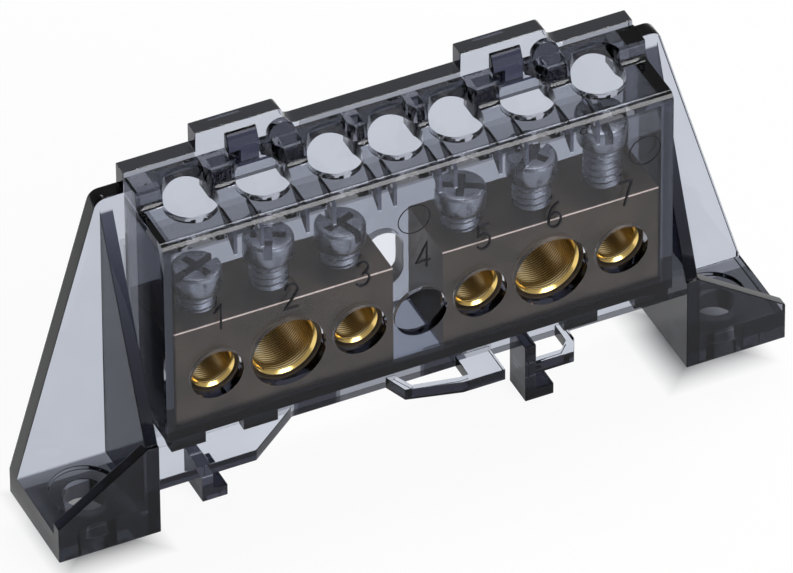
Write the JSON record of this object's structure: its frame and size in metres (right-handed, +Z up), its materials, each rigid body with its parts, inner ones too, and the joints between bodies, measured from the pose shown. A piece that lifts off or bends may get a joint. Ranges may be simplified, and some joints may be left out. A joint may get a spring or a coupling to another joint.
{
  "type": "neutral busbar",
  "caption": "Neutral busbar: brass bars with clamping screws in a smoky clear holder under a clear cover, with screw feet and a rail clip.",
  "frame": {"origin": "midway between the two foot holes, on the underside of the feet", "axes": "+X along the bars, -Y is the side where the wires go in, +Z up towards the driver holes"},
  "size_m": [0.0818, 0.0124, 0.0443],
  "materials": {
    "smoky_base": "clear smoky grey, glossy",
    "smoky_cover": "clear light grey, glossy",
    "brass": "drawn bar, bright turned bores",
    "steel": "bright plated"
  },
  "bodies": {
    "holder": {"base": "smoky_base", "cover": "smoky_cover", "busbar_left": "brass", "busbar_right": "brass"},
    "screw_1": {"screw_1": "steel"},
    "screw_2": {"screw_2": "steel"},
    "screw_3": {"screw_3": "steel"},
    "screw_5": {"screw_5": "steel"},
    "screw_6": {"screw_6": "steel"},
    "screw_7": {"screw_7": "steel"}
  },
  "joints": [
    {"name": "screw_1_travel", "type": "slide", "parent": "holder", "child": "screw_1", "axis": [0, 0, 1], "range_m": [-0.0018, 0.00315]},
    {"name": "screw_2_travel", "type": "slide", "parent": "holder", "child": "screw_2", "axis": [0, 0, 1], "range_m": [-0.003, 0.00195]},
    {"name": "screw_3_travel", "type": "slide", "parent": "holder", "child": "screw_3", "axis": [0, 0, 1], "range_m": [-0.0018, 0.00315]},
    {"name": "screw_5_travel", "type": "slide", "parent": "holder", "child": "screw_5", "axis": [0, 0, 1], "range_m": [-0.0018, 0.00315]},
    {"name": "screw_6_travel", "type": "slide", "parent": "holder", "child": "screw_6", "axis": [0, 0, 1], "range_m": [-0.003, 0.00195]},
    {"name": "screw_7_travel", "type": "slide", "parent": "holder", "child": "screw_7", "axis": [0, 0, 1], "range_m": [-0.0047, 0.00025]}
  ]
}
